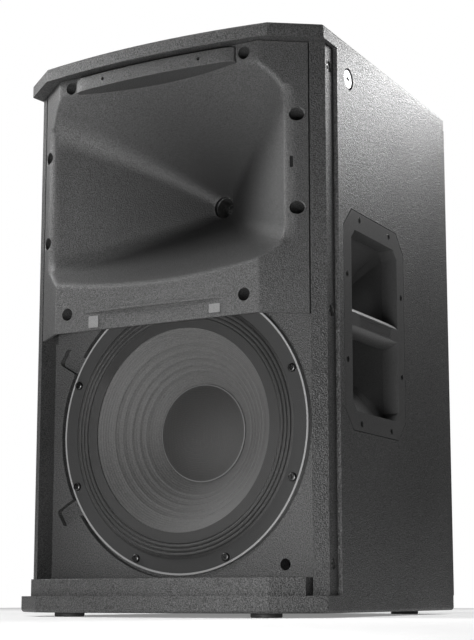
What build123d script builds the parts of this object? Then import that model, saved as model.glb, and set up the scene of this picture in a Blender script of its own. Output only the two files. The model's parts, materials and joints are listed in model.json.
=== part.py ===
"""Two-way powered PA speaker cabinet, 12-inch woofer and horn, millimetres.

Frame: +Z up, the front faces -Y, the origin is the middle of the footprint at floor level.
Depths written as "setback" are measured back from the kink line, where the bowed front of the
top panel meets its corner chamfers.
"""
from build123d import *
from math import asin, cos, degrees, radians, sin, sqrt, tan
import os

os.makedirs("parts", exist_ok=True)

# ---- cabinet ----
width = 381.0
depth = 408.0
height = 608.0
front_bow = 12.0
kink_half = 143.0
chamfer_setback = 35.5
side_taper = 3.23
top_thickness = 15.0
bottom_thickness = 17.2
foot_height = 4.4
side_thickness = 18.5
board = 18.0
baffle_setback = 62.7
rebate_inset = 4.8
rebate_setback = 69.5
panel_round = 3.5
batten_height = 18.1
batten_inset = 5.0
rear_recess = 12.0
fit_gap = 0.3

front_y = -depth / 2
rear_y = depth / 2
kink_y = front_y + front_bow
corner_x = width / 2
corner_y = kink_y + chamfer_setback
taper_slope = tan(radians(side_taper))
baffle_y = kink_y + baffle_setback
baffle_back = baffle_y + board
floor_z = foot_height + bottom_thickness
ceiling_z = height - top_thickness
rear_panel_back = rear_y - rear_recess
rear_panel_front = rear_panel_back - board

# ---- horn ----
horn_bottom = 304.3
horn_top = 592.0
horn_setback = 5.7
horn_kink = 128.6
flap_end_x = 170.4
flap_end_setback = 38.0
horn_wall = 4.0
horn_axis_z = 462.0
throat_radius = 12.5
throat_setback = 150.0
driver_seat = kink_y + throat_setback + 6.0 + fit_gap
rim_x = 152.0
rim_setback = 23.6
mouth_top = 587.0
mouth_bottom = 350.0
mouth_top_arc = 424.0
mouth_bottom_arc = 772.0
mouth_corner = 28.0
horn_screw_x = 112.0
horn_screw_z = (581.4, 324.4)
flap_screw_x = 160.2
flap_screw_z = (513.7, 414.2)
well_radius = 6.8
well_floor = 4.0

# ---- woofer ----
woofer_z = 197.8
rim_radius = 154.85
rebate_radius = 159.4
rebate_depth = 7.2
woofer_cutout = 141.5
screw_circle = 147.65
cone_edge = 111.5
cap_radius = 54.0
cap_depth = 45.6
coil_inner = 36.6
coil_outer = 38.6

# ---- side fittings ----
handle_setback = 165.3
handle_z = 308.0
flange_width = 167.3
flange_height = 234.4
flange_corner = 21.5
flange_thickness = 3.0
opening_width = 128.0
opening_height = 193.7
opening_corner = 10.0
skirt_depth = 18.6
cup_depth = 50.0
cup_wall = 3.0
cup_slope = 0.606
rigging_setback = 99.5
rigging_z = 567.6
grille_hole_setback = 59.5
grille_hole_z = (569.6, 309.5, 53.4)

# ---- amplifier ----
amp_width = 230.0
amp_height = 340.0
amp_z = 300.0
amp_plate_thickness = 3.0
amp_box_depth = 78.0
amp_face = rear_panel_back + amp_plate_thickness
board_lift = 44.0
socket_spots = [(-62.0, 352.0), (0.0, 352.0)]
latch_rise = 12.4
link_spot = (62.0, 352.0)
level_spots = [(-62.0, 395.0), (0.0, 395.0)]
menu_spot = (62.0, 430.0)
display_spot = (-31.0, 434.0)
inlet_spot = (-52.0, 164.0)
switch_spot = (30.0, 164.0)
suspension_rear_z = 560.0

# ---- base ----
foot_radius = 16.0
foot_spots = [(x, kink_y + s) for x in (-122.0, 122.0) for s in (33.0, 360.0)]
pole_radius = 17.8
pole_depth = 85.0
pole_y = kink_y + 195.0


def save(builder, name):
    """Label a finished piece and write it as its own STEP file."""
    builder.part.label = name
    export_step(builder.part, f"parts/{name}.step")


def outer_x(y):
    """Half width of the cabinet at a given y, on the tapered side face."""
    return corner_x - (y - corner_y) * taper_slope


def inner_x(y):
    """Half width inside the side panels."""
    return outer_x(y) - side_thickness / cos(radians(side_taper))


def front_plane(y):
    """Vertical plane facing the front: local x is X, local y is Z."""
    return Plane(origin=(0, y, 0), x_dir=(1, 0, 0), z_dir=(0, -1, 0))


def rear_plane(y):
    """Vertical plane facing the rear: local x is -X, local y is Z."""
    return Plane(origin=(0, y, 0), x_dir=(-1, 0, 0), z_dir=(0, 1, 0))


def side_plane(y, z, inset=0.0):
    """Plane on the right side face: local x runs to the rear, local y is Z, normal points out."""
    lean = radians(side_taper)
    normal = Vector(cos(lean), sin(lean), 0)
    start = Vector(outer_x(y), y, z) - normal * inset
    return Plane(origin=start, x_dir=(-sin(lean), cos(lean), 0), z_dir=normal)


def mirrored(source):
    """The opposite-hand copy of a piece, across the middle of the cabinet."""
    with BuildPart() as copy:
        add(source.part.mirror(Plane.YZ))
    return copy


def cabinet_plan():
    """Outline of the top and bottom panels: bowed front, corner chamfers, sides tapering back."""
    rear_x = outer_x(rear_y)
    with BuildSketch() as plan:
        with BuildLine():
            ThreePointArc((-kink_half, kink_y), (0, front_y), (kink_half, kink_y))
            Polyline((kink_half, kink_y), (corner_x, corner_y), (rear_x, rear_y),
                     (-rear_x, rear_y), (-corner_x, corner_y), (-kink_half, kink_y))
        make_face()
    return plan.sketch


def between_sides(y_front, y_back, gap=0.0):
    """Plan of a board that fits between the two side panels."""
    x_front = inner_x(y_front) - gap
    x_back = inner_x(y_back) - gap
    with BuildSketch() as plan:
        with BuildLine():
            Polyline((-x_front, y_front), (x_front, y_front), (x_back, y_back), (-x_back, y_back),
                     close=True)
        make_face()
    return plan.sketch


def cut_rectangle(across, up, corner):
    """Rectangle with its corners cut off at 45 degrees, centred."""
    Rectangle(across, up)
    chamfer(vertices(), length=corner)


# ================= cabinet panels =================

def make_top_panel():
    with BuildPart() as panel:
        with BuildSketch(Plane.XY.offset(ceiling_z)):
            add(cabinet_plan())
        extrude(amount=top_thickness)
        fillet(panel.edges().filter_by(Axis.Z), radius=2.5)
        fillet(panel.faces().sort_by(Axis.Z)[-1].edges(), radius=panel_round)
    return panel


def make_bottom_panel():
    with BuildPart() as panel:
        with BuildSketch(Plane.XY.offset(foot_height)):
            add(cabinet_plan())
        extrude(amount=bottom_thickness)
        fillet(panel.edges().filter_by(Axis.Z), radius=2.5)
        fillet(panel.faces().sort_by(Axis.Z)[0].edges(), radius=panel_round)
        with BuildSketch(Plane.XY.offset(foot_height)):
            with Locations((0, pole_y)):
                Circle(pole_radius + 3.4)
        extrude(amount=bottom_thickness, mode=Mode.SUBTRACT)
        with BuildSketch(Plane.XY.offset(foot_height)):
            with Locations((0, pole_y)):
                Circle(37.3)
        extrude(amount=3.2, mode=Mode.SUBTRACT)
        with BuildSketch(Plane.XY.offset(foot_height)):
            with Locations(*foot_spots):
                Circle(2.0)
            with Locations((0, pole_y)):
                with PolarLocations(30.0, 4, start_angle=45):
                    Circle(1.8)
        extrude(amount=13.0, mode=Mode.SUBTRACT)
    return panel


def make_right_side():
    step_y = kink_y + rebate_setback
    rebate = rebate_inset / cos(radians(side_taper))
    nose_y = kink_y + 49.1
    lip_y = kink_y + 38.5
    with BuildPart() as side:
        with BuildSketch(Plane.XY.offset(floor_z)):
            with BuildLine():
                Polyline((inner_x(lip_y), lip_y), (outer_x(nose_y) - rebate, nose_y),
                         (outer_x(step_y) - rebate, step_y), (outer_x(step_y), step_y),
                         (outer_x(rear_y), rear_y), (inner_x(rear_y), rear_y), close=True)
            make_face()
        extrude(amount=ceiling_z - floor_z)
        with BuildSketch(side_plane(kink_y + handle_setback, handle_z)):
            cut_rectangle(flange_width + 1.4, flange_height + 1.4, flange_corner)
        extrude(amount=-(flange_thickness + 0.2), mode=Mode.SUBTRACT)
        with BuildSketch(side_plane(kink_y + handle_setback, handle_z)):
            cut_rectangle(opening_width + 2 * cup_wall + 1, opening_height + 2 * cup_wall + 1,
                          opening_corner)
        extrude(amount=-2 * side_thickness, mode=Mode.SUBTRACT)
        with Locations(side_plane(kink_y + rigging_setback, rigging_z)):
            CounterBoreHole(6.9, 12.0, 4.0, depth=2 * side_thickness)
        for z in grille_hole_z:
            with Locations(side_plane(kink_y + grille_hole_setback, z, rebate_inset)):
                CounterBoreHole(3.2, 6.0, 1.6, depth=11.0)
        with BuildSketch(side_plane(kink_y + handle_setback, handle_z, flange_thickness)):
            with Locations(*handle_screw_spots()):
                Circle(1.6)
        extrude(amount=-12.0, mode=Mode.SUBTRACT)
    return side


def make_front_baffle():
    with BuildPart() as baffle:
        with BuildSketch(Plane.XY.offset(floor_z)):
            add(between_sides(baffle_y, baffle_back))
        extrude(amount=ceiling_z - floor_z)
        with BuildSketch(front_plane(baffle_y)):
            with Locations((0, woofer_z)):
                Circle(rebate_radius)
                for angle in (52, 150, 210):
                    with PolarLocations(0, 1, start_angle=angle):
                        with Locations((157.0, 0)):
                            RectangleRounded(54.0, 21.0, 4.5)
        extrude(amount=-rebate_depth, mode=Mode.SUBTRACT)
        with BuildSketch(front_plane(baffle_y)):
            with Locations((0, woofer_z)):
                Circle(woofer_cutout)
            with Locations((0, 469.0)):
                Rectangle(242.0, 184.0)
            with Locations((127.3, 53.0)):
                Circle(6.0)
        extrude(amount=-board, mode=Mode.SUBTRACT)
        with BuildSketch(front_plane(baffle_y)):
            with Locations(*horn_screw_spots()):
                Circle(2.6)
            with Locations((0, woofer_z)):
                with PolarLocations(screw_circle, 8, start_angle=22.5):
                    Circle(2.6)
        extrude(amount=-board, mode=Mode.SUBTRACT)
    return baffle


def make_rear_panel():
    with BuildPart() as panel:
        with BuildSketch(Plane.XY.offset(floor_z)):
            add(between_sides(rear_panel_front, rear_panel_back))
        extrude(amount=ceiling_z - floor_z)
        with BuildSketch(rear_plane(rear_panel_back)):
            with Locations((0, amp_z)):
                Rectangle(amp_width - 26, amp_height - 26)
        extrude(amount=-board, mode=Mode.SUBTRACT)
        with BuildSketch(rear_plane(rear_panel_back)):
            with Locations(*amp_screw_spots()):
                Circle(1.8)
            with Locations((0, suspension_rear_z)):
                Circle(6.9)
        extrude(amount=-board, mode=Mode.SUBTRACT)
    return panel


def make_bottom_batten():
    """Rail on the bottom panel; its front follows the panel's outline a little inside it."""
    end_x = inner_x(baffle_y) - 0.4
    with BuildPart() as batten:
        with BuildSketch(Plane.XY.offset(floor_z)):
            add(cabinet_plan())
            offset(amount=-batten_inset, kind=Kind.INTERSECTION)
            with Locations((0, (front_y + baffle_y) / 2)):
                Rectangle(2 * end_x, baffle_y - front_y, mode=Mode.INTERSECT)
        extrude(amount=batten_height)
        fillet(batten.faces().sort_by(Axis.Z)[-1].edges().group_by(Axis.Y)[0], radius=1.0)
    return batten


def make_inner_brace():
    brace_front = kink_y + 236.0
    brace_back = kink_y + 286.0
    with BuildPart() as brace:
        with BuildSketch(Plane.XY.offset(345.0)):
            add(between_sides(brace_front, brace_back))
            with GridLocations(110.0, 0, 2, 1):
                with Locations((0, (brace_front + brace_back) / 2)):
                    RectangleRounded(80.0, 22.0, 10.0, mode=Mode.SUBTRACT)
        extrude(amount=15.0)
    return brace


def make_damping_wadding():
    """Quilted wadding folded along the ceiling of the box."""
    pad_front = baffle_back + 98.0
    pad_back = rear_panel_front - 8.0
    with BuildPart() as pad:
        with BuildSketch(Plane.XY.offset(565.0)):
            add(between_sides(pad_front, pad_back, gap=6.0))
            fillet(vertices(), radius=12.0)
        extrude(amount=ceiling_z - 565.5)
        fillet(pad.edges().group_by(Axis.Z)[0], radius=8.0)
    return pad


# ================= fasteners =================

def make_screws(spots, head_radius, head_height, shank_radius, shank_length, recess):
    """Pan-head screws with a cross recess, one at every spot plane, heads along its normal."""
    with BuildPart() as one:
        with BuildSketch(Plane.XY):
            Circle(head_radius)
        extrude(amount=head_height)
        fillet(one.faces().sort_by(Axis.Z)[-1].edges(), radius=0.6 * head_height)
        with BuildSketch(Plane.XY):
            Circle(shank_radius)
        extrude(amount=-shank_length)
        chamfer(one.faces().sort_by(Axis.Z)[0].edges(), length=0.6 * shank_radius)
        with BuildSketch(Plane.XY.offset(head_height)):
            Rectangle(2 * recess, 0.45 * recess)
            Rectangle(0.45 * recess, 2 * recess)
        extrude(amount=-0.7 * head_height, mode=Mode.SUBTRACT)
    with BuildPart() as group:
        with Locations(*spots):
            add(one.part)
    return group


def horn_screw_spots():
    """X and Z of the eight horn screws."""
    front = [(x, z) for x in (-horn_screw_x, horn_screw_x) for z in horn_screw_z]
    flaps = [(x, z) for x in (-flap_screw_x, flap_screw_x) for z in flap_screw_z]
    return front + flaps


def woofer_screw_spots():
    """X and Z of the eight woofer screws."""
    angles = [radians(22.5 + 45 * i) for i in range(8)]
    return [(screw_circle * cos(a), woofer_z + screw_circle * sin(a)) for a in angles]


def handle_screw_spots():
    """Places of the flange screws, along the side and up, from the middle of the handle."""
    ends = [(u, v) for u in (-41.5, 41.5) for v in (-109.6, 109.6)]
    sides = [(u, v) for u in (-75.5, 75.5) for v in (-45.3, 45.3)]
    return ends + sides


def amp_screw_spots():
    """X and Z of the amplifier plate screws, seen from the rear."""
    across = amp_width / 2 - 6.5
    up = amp_height / 2 - 6.5
    return [(x, amp_z + z) for x in (-across, 0, across) for z in (-up, up)] + \
        [(x, amp_z + z) for x in (-across, across) for z in (-up / 3, up / 3)]


def facing(spots, y, direction):
    """Planes at X and Z spots on a vertical face at y, looking along -Y or +Y."""
    return [Plane(origin=(x, y, z), x_dir=(1, 0, 0), z_dir=(0, direction, 0)) for x, z in spots]


# ================= horn =================

def horn_plan(reach):
    """Filled plan of the folded horn front, back to a given y."""
    flap_y = kink_y + flap_end_setback
    face_y = kink_y + horn_setback
    with BuildSketch() as plan:
        with BuildLine():
            Polyline((-flap_end_x, reach), (-flap_end_x, flap_y), (-horn_kink, face_y),
                     (horn_kink, face_y), (flap_end_x, flap_y), (flap_end_x, reach), close=True)
        make_face()
    return plan.sketch


def mouth_section(setback, grow):
    """Cross-section of the flare: arched top and bottom, straight sides, round corners."""
    share = (throat_setback - setback) / (throat_setback - horn_setback)
    side_share = (throat_setback - setback) / (throat_setback - rim_setback)
    half = throat_radius + (rim_x - throat_radius) * side_share + grow
    top = horn_axis_z + throat_radius + (mouth_top - horn_axis_z - throat_radius) * share + grow
    bottom = horn_axis_z - throat_radius - (horn_axis_z - throat_radius - mouth_bottom) * share - grow
    top_drop = mouth_top_arc - sqrt(mouth_top_arc ** 2 - half ** 2)
    bottom_rise = mouth_bottom_arc - sqrt(mouth_bottom_arc ** 2 - half ** 2)
    corner = (throat_radius + grow) * 0.97 + (mouth_corner - throat_radius) * share
    with BuildSketch(front_plane(kink_y + setback)) as section:
        with BuildLine():
            ThreePointArc((-half, top - top_drop), (0, top), (half, top - top_drop))
            Line((half, top - top_drop), (half, bottom + bottom_rise))
            ThreePointArc((half, bottom + bottom_rise), (0, bottom), (-half, bottom + bottom_rise))
            Line((-half, bottom + bottom_rise), (-half, top - top_drop))
        make_face()
        fillet(vertices(), radius=corner)
    return section.sketch


def make_horn():
    face_y = kink_y + horn_setback
    throat_y = kink_y + throat_setback
    length_z = horn_top - horn_bottom
    with BuildPart() as cavity:
        loft([mouth_section(setback, 0.0) for setback in (-6.0, 40.0, 95.0, throat_setback)])
    with BuildPart() as horn:
        loft([mouth_section(setback, horn_wall) for setback in (-6.0, 40.0, 95.0, throat_setback)])
        for x, z in horn_screw_spots():
            with BuildSketch(Plane(origin=(x, baffle_y - fit_gap, z), x_dir=(1, 0, 0), z_dir=(0, -1, 0))):
                Circle(well_radius + 2.6)
            extrude(amount=80.0)
        with BuildSketch(Plane.XY.offset(horn_bottom)):
            add(horn_plan(throat_y))
        extrude(amount=length_z, mode=Mode.INTERSECT)
        with BuildSketch(Plane.XY.offset(horn_bottom)):
            add(horn_plan(baffle_y - fit_gap))
            with BuildLine():
                Polyline((-flap_end_x + horn_wall, baffle_y), (-flap_end_x + horn_wall, kink_y + 40.0),
                         (-horn_kink + 1.4, face_y + horn_wall), (horn_kink - 1.4, face_y + horn_wall),
                         (flap_end_x - horn_wall, kink_y + 40.0), (flap_end_x - horn_wall, baffle_y),
                         close=True)
            make_face(mode=Mode.SUBTRACT)
        extrude(amount=length_z)
        with BuildSketch(Plane.XY.offset(horn_top - horn_wall)):
            add(horn_plan(baffle_y - fit_gap))
        extrude(amount=horn_wall)
        add(cavity.part, mode=Mode.SUBTRACT)
        add(horn_ledge())
        add(horn_rib())
        with BuildSketch(front_plane(throat_y - 2.0)):
            with Locations((0, horn_axis_z)):
                Circle(42.0)
                Circle(throat_radius, mode=Mode.SUBTRACT)
                with PolarLocations(36.0, 4, start_angle=45):
                    Circle(3.2, mode=Mode.SUBTRACT)
        extrude(amount=-8.0)
        with BuildSketch(front_plane(front_y)):
            with Locations(*horn_screw_spots()):
                Circle(well_radius)
        extrude(amount=-(baffle_y - fit_gap - well_floor - front_y), mode=Mode.SUBTRACT)
        with BuildSketch(front_plane(front_y)):
            with Locations(*horn_screw_spots()):
                Circle(2.8)
        extrude(amount=-(baffle_y - front_y), mode=Mode.SUBTRACT)
        with BuildSketch(flap_plane(463.0)):
            Rectangle(8.0, 12.0)
        extrude(amount=-12.0, mode=Mode.SUBTRACT)
    return horn


def flap_plane(z):
    """Plane on the right flap of the horn, at the indicator window."""
    run = Vector(flap_end_x - horn_kink, flap_end_setback - horn_setback, 0).normalized()
    start = Vector(horn_kink, kink_y + horn_setback, z) + run * 37.2
    return Plane(origin=start, x_dir=run, z_dir=(run.Y, -run.X, 0))


def horn_ledge():
    """Ledge across the top of the mouth; its front follows the bow of the cabinet."""
    with BuildPart() as ledge:
        with BuildSketch(Plane.XY.offset(573.0)):
            with BuildLine():
                ThreePointArc((-94.0, kink_y - 1.5), (0, kink_y - 7.0), (94.0, kink_y - 1.5))
                Polyline((94.0, kink_y - 1.5), (102.3, kink_y + horn_setback), (102.3, kink_y + 14.0))
                ThreePointArc((102.3, kink_y + 14.0), (0, kink_y + 32.0), (-102.3, kink_y + 14.0))
                Polyline((-102.3, kink_y + 14.0), (-102.3, kink_y + horn_setback), (-94.0, kink_y - 1.5))
            make_face()
        extrude(amount=15.5)
        with BuildSketch(front_plane(front_y)):
            with Locations((-62.0, 581.2), (62.0, 581.2)):
                Circle(2.0)
        extrude(amount=-22.0, mode=Mode.SUBTRACT)
    return ledge.part


def horn_rib():
    """Thin crescent rib below the mouth."""
    with BuildPart() as rib:
        with BuildSketch(Plane.XY.offset(323.4)):
            with BuildLine():
                ThreePointArc((-100.6, kink_y + 6.2), (0, kink_y - 0.8), (100.6, kink_y + 6.2))
                Line((100.6, kink_y + 6.2), (-100.6, kink_y + 6.2))
            make_face()
        extrude(amount=2.6)
    return rib.part


def make_horn_badges():
    """Two small blank plates below the mouth."""
    with BuildPart() as badges:
        with BuildSketch(front_plane(kink_y + horn_setback)):
            with Locations((-76.2, 313.2)):
                RectangleRounded(12.6, 12.6, 0.8)
            with Locations((77.1, 313.4)):
                RectangleRounded(13.2, 9.2, 0.8)
        extrude(amount=0.7)
    return badges


def make_indicator_window():
    with BuildPart() as window:
        with BuildSketch(flap_plane(463.0).offset(-0.6)):
            Rectangle(7.6, 11.6)
        extrude(amount=-3.0)
    return window


# ================= turned parts =================

def turned(setback_y, z, profile):
    """Solid of revolution about an axis along Y; profile points are (depth behind y, radius)."""
    half_plane = Plane(origin=(0, setback_y, z), x_dir=(0, 1, 0), z_dir=(1, 0, 0))
    with BuildPart() as piece:
        with BuildSketch(half_plane):
            with BuildLine():
                Polyline(*profile, close=True)
            make_face()
        revolve(axis=Axis((0, setback_y, z), (0, 1, 0)))
    return piece


def make_woofer_basket():
    """Flange with a thin raised rim, a dished frame with eight windows, and a motor seat."""
    basket = turned(baffle_y, woofer_z, [
        (0.0, 152.4), (0.0, rim_radius), (7.0, rim_radius), (7.0, 141.0), (24.0, 136.0),
        (70.0, 104.0), (84.0, 96.0), (92.0, 82.0), (92.0, 44.0), (88.5, 44.0), (88.5, 78.0),
        (82.0, 79.0), (79.0, 79.0), (79.0, 92.0), (67.0, 100.0), (22.0, 132.0), (5.0, 136.0),
        (5.0, 130.0), (1.6, 130.0), (1.6, 152.4)])
    with BuildPart() as windows:
        with BuildSketch(front_plane(baffle_y + 26.0)):
            with Locations((0, woofer_z)):
                with PolarLocations(112.0, 8, start_angle=22.5):
                    Rectangle(72.0, 52.0)
        extrude(amount=-48.0)
    with BuildPart() as frame:
        add(basket.part)
        add(windows.part, mode=Mode.SUBTRACT)
        with BuildSketch(front_plane(baffle_y)):
            with Locations((0, woofer_z)):
                with PolarLocations(screw_circle, 8, start_angle=22.5):
                    Circle(2.8)
        extrude(amount=-10.0, mode=Mode.SUBTRACT)
    return frame


def make_woofer_gasket():
    with BuildPart() as gasket:
        with BuildSketch(front_plane(baffle_y + 1.6)):
            with Locations((0, woofer_z)):
                Circle(152.2)
                Circle(138.2, mode=Mode.SUBTRACT)
                with PolarLocations(screw_circle, 8, start_angle=22.5):
                    Circle(3.0, mode=Mode.SUBTRACT)
        extrude(amount=1.6)
    return gasket


def make_woofer_surround():
    """Flat inner collar on the cone edge and three rolls out to the foot on the flange."""
    rolls = [124.6, 129.0, 133.4]
    roll_half = 2.1
    plane = Plane(origin=(0, baffle_y, woofer_z), x_dir=(0, 1, 0), z_dir=(1, 0, 0))
    with BuildPart() as surround:
        with BuildSketch(plane):
            with BuildLine():
                Polyline((-0.6, 122.5), (-1.6, 121.0), (-1.6, 110.0), (-0.5, 110.0), (-0.5, 121.5),
                         (0.6, 123.0), (0.6, 135.6), (1.5, 136.4), (1.5, 138.0), (0.3, 138.0),
                         (-0.6, 135.5))
                for middle in reversed(rolls):
                    ThreePointArc((-0.6, middle + roll_half), (-2.9, middle), (-0.6, middle - roll_half))
                    if middle > rolls[0]:
                        Line((-0.6, middle - roll_half), (-0.6, middle - 4.4 + roll_half))
            make_face()
        revolve(axis=Axis((0, baffle_y, woofer_z), (0, 1, 0)))
    return surround


def make_woofer_cone():
    """Paper cone with raised rings near its outer edge and a neck that meets the coil former."""
    slope = (cap_depth + 0.4) / (cone_edge - cap_radius)
    front = []
    for radius in (95.0, 88.0, 80.5, 74.0, 68.0):
        at = (cone_edge - radius) * slope - 0.4
        front += [(at - 1.5 * slope, radius + 1.5), (at - 0.9, radius), (at + 1.5 * slope, radius - 1.5)]
    profile = [(0.2, 118.0), (-0.4, 118.0), (-0.4, cone_edge)] + front
    profile += [(cap_depth, cap_radius), (62.0, coil_outer), (64.0, coil_outer)]
    profile += [(47.4, cap_radius), (1.2, cone_edge)]
    return turned(baffle_y, woofer_z, profile)


def make_woofer_dust_cap():
    return dome_shell(baffle_y + 33.0, woofer_z, cap_radius - 0.2, 11.0, 1.2, -1)


def dome_shell(crown_y, z, edge_radius, rise, wall, facing_sign):
    """Shallow spherical shell with its crown at crown_y, bulging along facing_sign times Y."""
    sphere = (edge_radius ** 2 + rise ** 2) / (2 * rise)
    sweep_angle = degrees(asin(edge_radius / sphere))
    plane = Plane(origin=(0, crown_y, z), x_dir=(0, facing_sign, 0), z_dir=(facing_sign, 0, 0))
    with BuildPart() as dome:
        with BuildSketch(plane):
            with BuildLine():
                outer = CenterArc((-sphere, 0), sphere, 0, sweep_angle)
                inner = CenterArc((-sphere, 0), sphere - wall, 0, sweep_angle)
                Line(outer @ 0, inner @ 0)
                Line(outer @ 1, inner @ 1)
            make_face()
        revolve(axis=Axis((0, crown_y, z), (0, 1, 0)))
    return dome


def make_woofer_spider():
    """Corrugated centring disc between the coil former and the basket."""
    plane = Plane(origin=(0, baffle_y, woofer_z), x_dir=(0, 1, 0), z_dir=(1, 0, 0))
    pitch = 5.6
    starts = [coil_outer + 0.3 + 3.0 + pitch * i for i in range(6)]
    with BuildPart() as spider:
        with BuildSketch(plane):
            with BuildLine():
                for face in (76.6, 77.5):
                    Line((face, coil_outer + 0.3), (face, starts[0]))
                    for i, start in enumerate(starts):
                        swing = 2.4 if i % 2 else -2.4
                        ThreePointArc((face, start), (face + swing, start + pitch / 2), (face, start + pitch))
                    Line((face, starts[-1] + pitch), (face, 84.0))
                for radius in (coil_outer + 0.3, 84.0):
                    Line((76.6, radius), (77.5, radius))
            make_face()
        revolve(axis=Axis((0, baffle_y, woofer_z), (0, 1, 0)))
    return spider


# ================= handle =================

def make_right_handle():
    middle = side_plane(kink_y + handle_setback, handle_z)
    end = cup_depth - skirt_depth
    spread = 2 * end / cup_slope
    with BuildPart() as handle:
        with BuildSketch(middle):
            cut_rectangle(flange_width, flange_height, flange_corner)
        extrude(amount=-flange_thickness)
        with BuildSketch(middle):
            cut_rectangle(opening_width + 2 * cup_wall, opening_height + 2 * cup_wall, opening_corner)
        extrude(amount=-skirt_depth)
        with BuildSketch(middle.offset(-skirt_depth)):
            cut_rectangle(opening_width + 2 * cup_wall, opening_height + 2 * cup_wall, opening_corner)
        with BuildSketch(middle.offset(-cup_depth - cup_wall)):
            cut_rectangle(opening_width + 2 * cup_wall - spread, opening_height + 2 * cup_wall - spread, 3.0)
        loft(ruled=True)
        with BuildSketch(middle):
            cut_rectangle(opening_width, opening_height, opening_corner)
        extrude(amount=-skirt_depth, mode=Mode.SUBTRACT)
        with BuildSketch(middle.offset(-skirt_depth)):
            cut_rectangle(opening_width, opening_height, opening_corner)
        with BuildSketch(middle.offset(-cup_depth)):
            cut_rectangle(opening_width - spread, opening_height - spread, 3.0)
        loft(ruled=True, mode=Mode.SUBTRACT)
        add(handle_bar())
        with BuildSketch(middle.offset(-0.9)):
            Rectangle(86.4, 10.2)
        extrude(amount=2.0, mode=Mode.SUBTRACT)
        with Locations(middle):
            with Locations(*handle_screw_spots()):
                CounterBoreHole(1.9, 3.4, 1.0, depth=flange_thickness + 1)
    return handle


def handle_bar():
    """Grip bar across the cup: flat in front, swelling to a round back."""
    start = side_plane(kink_y + handle_setback, handle_z)
    across = Plane(origin=start.origin - start.x_dir * (opening_width / 2 + 1.5),
                   x_dir=-start.z_dir, z_dir=start.x_dir)
    with BuildPart() as bar:
        with BuildSketch(across):
            with BuildLine():
                Line((0, -7.2), (0, 7.2))
                ThreePointArc((0, 7.2), (8.0, 13.6), (17.0, 16.0))
                ThreePointArc((17.0, 16.0), (32.0, 0.8), (17.0, -14.4))
                ThreePointArc((17.0, -14.4), (8.0, -12.4), (0, -7.2))
            make_face()
        extrude(amount=opening_width + 3.0)
    return bar.part


def make_nameplate():
    """Blank plate let into the grip bar."""
    with BuildPart() as plate:
        with BuildSketch(side_plane(kink_y + handle_setback, handle_z).offset(-0.9)):
            RectangleRounded(85.8, 9.6, 0.8)
        extrude(amount=0.7)
        with BuildSketch(side_plane(kink_y + handle_setback, handle_z).offset(-0.2)):
            RectangleRounded(82.0, 6.4, 0.6)
        extrude(amount=-0.4, mode=Mode.SUBTRACT)
    return plate


def both_sides(source):
    """One node that holds the right-hand pieces and their mirror copies."""
    with BuildPart() as pair:
        add(source.part)
        add(source.part.mirror(Plane.YZ))
    return pair


# ================= compression driver =================

def make_hf_driver_plate():
    """Front plate with the throat bore and the pole tube in one turned piece."""
    plate = turned(driver_seat, horn_axis_z, [
        (0, throat_radius), (0, 45.0), (8.0, 45.0), (8.0, 21.0), (24.0, 21.0), (24.0, throat_radius)])
    with BuildPart() as drilled:
        add(plate.part)
        with BuildSketch(front_plane(kink_y + throat_setback)):
            with Locations((0, horn_axis_z)):
                with PolarLocations(36.0, 4, start_angle=45):
                    Circle(3.2)
        extrude(amount=-15.0, mode=Mode.SUBTRACT)
    return drilled


def make_hf_phase_plug():
    return turned(driver_seat, horn_axis_z, [
        (4.0, 0), (4.0, 0.8), (9.0, 4.6), (18.0, 9.6), (24.0, 11.4), (24.0, throat_radius),
        (26.0, throat_radius), (26.0, 0)])


def make_hf_diaphragm():
    """Dome with its coil in the gap between the pole tube and the magnet."""
    coil = turned(driver_seat, horn_axis_z, [(17.0, 21.8), (17.0, 22.4), (28.6, 22.4), (28.6, 21.8)])
    cap = dome_shell(driver_seat + 36.6, horn_axis_z, 22.4, 8.0, 0.6, 1)
    with BuildPart() as diaphragm:
        add(coil.part)
        add(cap.part)
    return diaphragm


def make_hf_bolts():
    spots = [Plane(origin=(36 * cos(radians(a)), kink_y + throat_setback - 2.0,
                           horn_axis_z + 36 * sin(radians(a))), x_dir=(1, 0, 0), z_dir=(0, -1, 0))
             for a in (45, 135, 225, 315)]
    return make_screws(spots, 5.0, 3.2, 2.8, 14.0, 2.6)


# ================= amplifier =================

def make_amp_plate():
    with BuildPart() as plate:
        with BuildSketch(rear_plane(rear_panel_back)):
            with Locations((0, amp_z)):
                RectangleRounded(amp_width, amp_height, 6.0)
        extrude(amount=amp_plate_thickness)
        with BuildSketch(rear_plane(rear_panel_back)):
            with Locations(*[(-x, z) for x, z in socket_spots]):
                Circle(12.2)
            with Locations(*[(-x, z + latch_rise) for x, z in socket_spots]):
                Rectangle(7.4, 5.0)
            with Locations((-link_spot[0], link_spot[1])):
                Circle(11.2)
            with Locations(*[(-x, z) for x, z in level_spots]):
                Circle(4.0)
            with Locations((-menu_spot[0], menu_spot[1])):
                Circle(4.0)
            with Locations((-display_spot[0], display_spot[1])):
                RectangleRounded(80.0, 40.0, 2.0)
            with Locations((-inlet_spot[0], inlet_spot[1])):
                Rectangle(28.4, 24.4)
            with Locations((-switch_spot[0], switch_spot[1])):
                Rectangle(28.4, 22.4)
            with Locations(*amp_screw_spots()):
                Circle(2.1)
        extrude(amount=amp_plate_thickness, mode=Mode.SUBTRACT)
    return plate


def make_amp_heatsink():
    """Base with upright fins on the outside of the plate."""
    with BuildPart() as sink:
        with BuildSketch(rear_plane(amp_face)):
            with Locations((0, 250.0)):
                Rectangle(190.0, 104.0)
        extrude(amount=2.0)
        with BuildSketch(rear_plane(amp_face + 2.0)):
            with Locations((0, 250.0)):
                with GridLocations(8.0, 0, 24, 1):
                    Rectangle(2.0, 104.0)
        extrude(amount=6.4)
    return sink


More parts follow.
